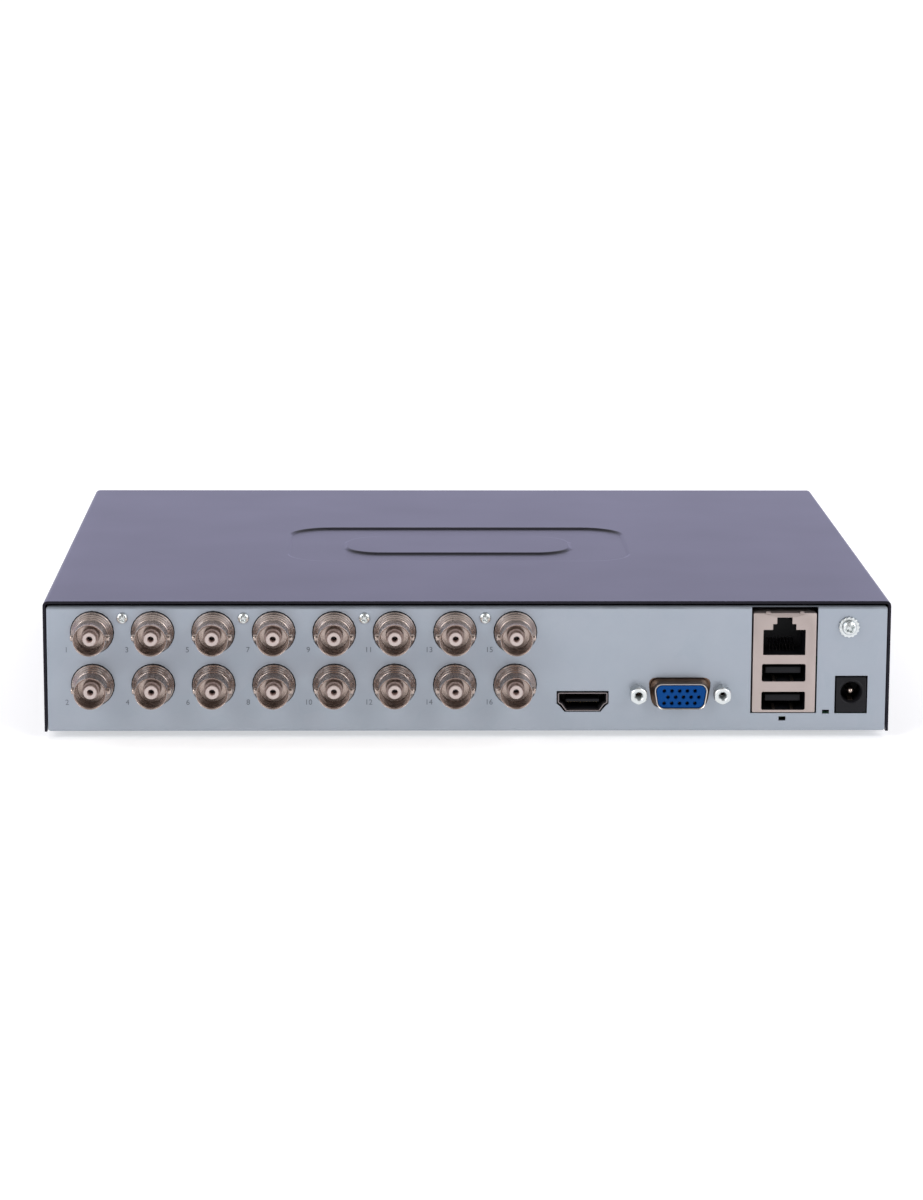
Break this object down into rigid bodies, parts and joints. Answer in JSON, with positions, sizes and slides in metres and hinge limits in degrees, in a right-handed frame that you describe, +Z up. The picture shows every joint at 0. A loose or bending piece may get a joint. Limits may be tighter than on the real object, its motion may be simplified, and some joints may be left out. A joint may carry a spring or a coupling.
{
  "type": "dvr recorder",
  "caption": "Low flat steel video recorder: a folded cover over a tray chassis, coaxial camera jacks, video, network, serial and power sockets on the rear panel, disk drive inside.",
  "frame": {"origin": "centre of the case's outer box at the undersides of the feet", "axes": "+X to the right as the rear panel is faced, along the long side; +Y from the rear panel to the front fascia; +Z up"},
  "size_m": [0.252, 0.2172, 0.042],
  "materials": {
    "powder_coat": "satin black powder coat",
    "galvanised_steel": "bright galvanised sheet with faint spangle",
    "nickel_plate": "warm nickel over die casting",
    "zinc_plate": "bright zinc",
    "tin_plate": "satin tin",
    "gold_plate": "warm bright plating",
    "black_plastic": "fine moulded grain",
    "blue_plastic": "fine moulded grain",
    "fascia_plastic": "satin moulding",
    "smoked_acrylic": "polished",
    "clear_acrylic": "clear",
    "rubber": "matt",
    "circuit_board": "solder mask",
    "cast_aluminium": "satin casting",
    "polished_disc": "mirror",
    "red_cable": "smooth jacket",
    "black_cable": "smooth jacket"
  },
  "bodies": {
    "recorder": {"top_cover": "powder_coat", "chassis": "galvanised_steel", "front_fascia": "fascia_plastic", "fascia_window": "smoked_acrylic", "indicator_board": "circuit_board", "light_guide": "clear_acrylic", "main_board": "circuit_board", "digital_video_shell": "tin_plate", "digital_video_tongue": "black_plastic", "analog_video_shell": "gold_plate", "analog_video_insert": "blue_plastic", "jack_screw_left": "zinc_plate", "jack_screw_right": "zinc_plate", "stack_shell": "tin_plate", "stack_insert": "black_plastic", "power_jack_body": "black_plastic", "power_jack_pin": "nickel_plate", "drive_base": "cast_aluminium", "drive_cover": "cast_aluminium", "drive_board": "circuit_board", "processor": "black_plastic", "heatsink": "cast_aluminium", "clock_battery": "zinc_plate", "battery_holder": "black_plastic", "data_cable": "red_cable", "power_cable": "black_cable", "cover_screw_left": "zinc_plate", "cover_screw_right": "zinc_plate", "bnc_block_1": "black_plastic", "block_screw_1": "zinc_plate", "foot_1": "rubber", "bnc_block_2": "black_plastic", "block_screw_2": "zinc_plate", "foot_2": "rubber", "bnc_block_3": "black_plastic", "block_screw_3": "zinc_plate", "foot_3": "rubber", "bnc_block_4": "black_plastic", "block_screw_4": "zinc_plate", "foot_4": "rubber", "bnc_shell_01": "nickel_plate", "bnc_shell_02": "nickel_plate", "bnc_shell_03": "nickel_plate", "bnc_shell_04": "nickel_plate", "bnc_shell_05": "nickel_plate", "bnc_shell_06": "nickel_plate", "bnc_shell_07": "nickel_plate", "bnc_shell_08": "nickel_plate", "bnc_shell_09": "nickel_plate", "bnc_shell_10": "nickel_plate", "bnc_shell_11": "nickel_plate", "bnc_shell_12": "nickel_plate", "bnc_shell_13": "nickel_plate", "bnc_shell_14": "nickel_plate", "bnc_shell_15": "nickel_plate", "bnc_shell_16": "nickel_plate"},
    "platters": {"drive_platters": "polished_disc"},
    "actuator": {"drive_actuator": "cast_aluminium"},
    "earth_fastener": {"earth_screw": "zinc_plate", "earth_washer": "zinc_plate"}
  },
  "joints": [
    {"name": "platter_spin", "type": "hinge", "parent": "recorder", "child": "platters", "pos_m": [-0.0592, 0.0403, 0.014], "axis": [0, 0, 1], "continuous": true},
    {"name": "actuator_swing", "type": "hinge", "parent": "recorder", "child": "actuator", "pos_m": [0.0068, 0.0123, 0.014], "axis": [0, 0, 1], "range_deg": [0, 33]},
    {"name": "earth_screw_release", "type": "slide", "parent": "recorder", "child": "earth_fastener", "axis": [0, -1, 0], "range_m": [0, 0.003]}
  ]
}
